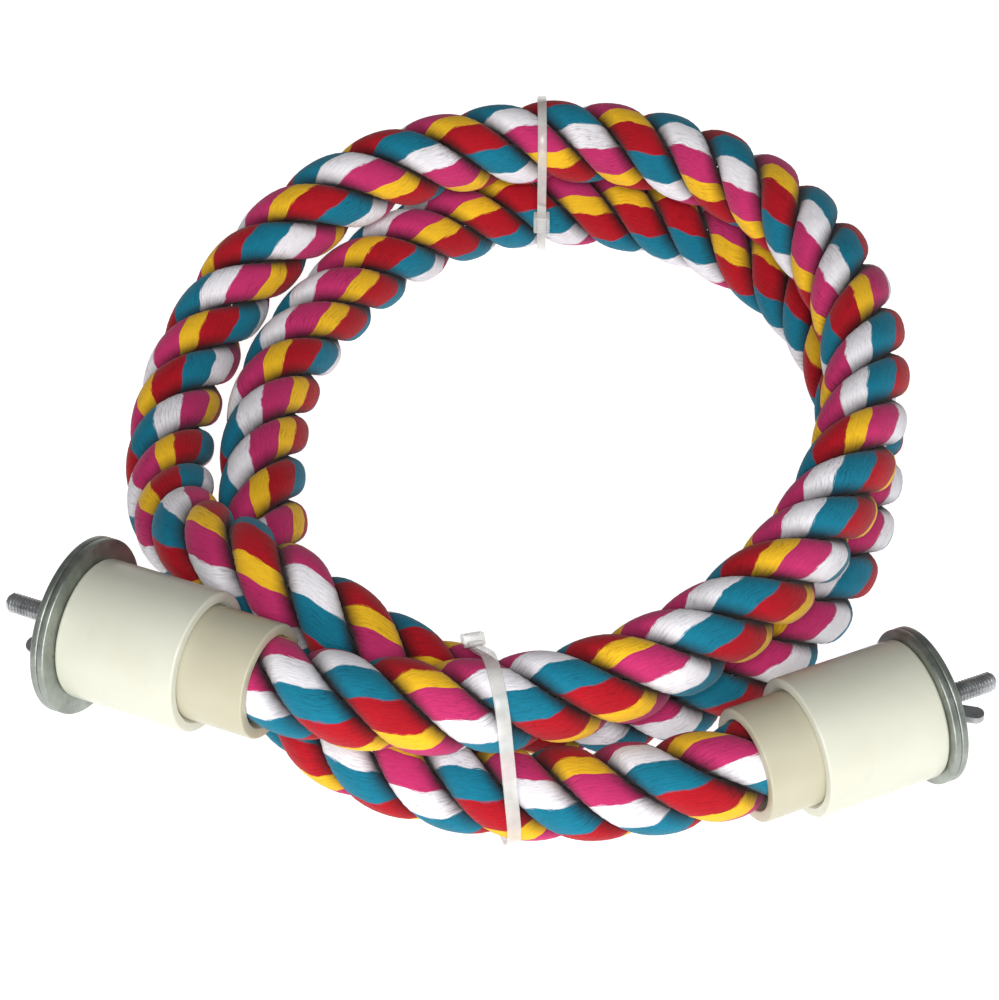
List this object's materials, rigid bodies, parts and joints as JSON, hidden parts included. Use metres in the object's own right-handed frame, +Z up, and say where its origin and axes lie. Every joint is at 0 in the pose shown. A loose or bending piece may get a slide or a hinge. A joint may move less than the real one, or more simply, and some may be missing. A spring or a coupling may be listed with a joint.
{
  "type": "bird perch",
  "caption": "Bendable bird perch of thick multi-coloured laid cotton rope, coiled and held with nylon ties, with plastic end fittings, studs, washers and wing nuts.",
  "frame": {"origin": "centre of the bounding box, on the plane that the coil rests on", "axes": "+Z up, square to the plane of the coil; +X to the right and +Y to the back, seen from the side that the end fittings face"},
  "size_m": [0.2857, 0.2806, 0.0608],
  "materials": {
    "dyed_cotton": "soft spun cotton, each strand in bands of crimson, yellow, magenta, white and teal",
    "core_steel": "annealed wire",
    "cream_plastic": "smooth satin pipe plastic",
    "zinc_washer": "dull zinc plate",
    "zinc_bolt": "bright zinc plate, rolled thread",
    "zinc_nut": "stamped, zinc plated",
    "clear_nylon": "translucent natural nylon"
  },
  "bodies": {
    "perch": {"rope_strand_1": "dyed_cotton", "rope_strand_2": "dyed_cotton", "rope_strand_3": "dyed_cotton", "core_wire": "core_steel", "left_pipe_sleeve": "cream_plastic", "left_end_cap": "cream_plastic", "left_bolt": "zinc_bolt", "left_inner_washer": "zinc_washer", "right_pipe_sleeve": "cream_plastic", "right_end_cap": "cream_plastic", "right_bolt": "zinc_bolt", "right_inner_washer": "zinc_washer", "top_tie": "clear_nylon", "bottom_tie": "clear_nylon"},
    "left_clamp": {"left_outer_washer": "zinc_washer"},
    "left_nut": {"left_wing_nut": "zinc_nut"},
    "right_clamp": {"right_outer_washer": "zinc_washer"},
    "right_nut": {"right_wing_nut": "zinc_nut"}
  },
  "joints": [
    {"name": "left_washer_slide", "type": "slide", "parent": "perch", "child": "left_clamp", "axis": [-0.9021, 0.4207, -0.0958], "range_m": [0, 0.012]},
    {"name": "left_nut_turn", "type": "hinge", "parent": "left_clamp", "child": "left_nut", "pos_m": [-0.12029, -0.07775, 0.03452], "axis": [-0.9021, 0.4207, -0.0958], "range_deg": [0, 5400]},
    {"name": "right_washer_slide", "type": "slide", "parent": "perch", "child": "right_clamp", "axis": [0.913, 0.4065, -0.0349], "range_m": [0, 0.012]},
    {"name": "right_nut_turn", "type": "hinge", "parent": "right_clamp", "child": "right_nut", "pos_m": [0.12182, -0.09776, 0.02296], "axis": [0.913, 0.4065, -0.0349], "range_deg": [0, 5400]}
  ],
  "couplings": [
    {"joint": "left_nut_turn", "follows": "left_washer_slide", "rad_per_m": 6283.2},
    {"joint": "right_nut_turn", "follows": "right_washer_slide", "rad_per_m": 6283.2}
  ]
}
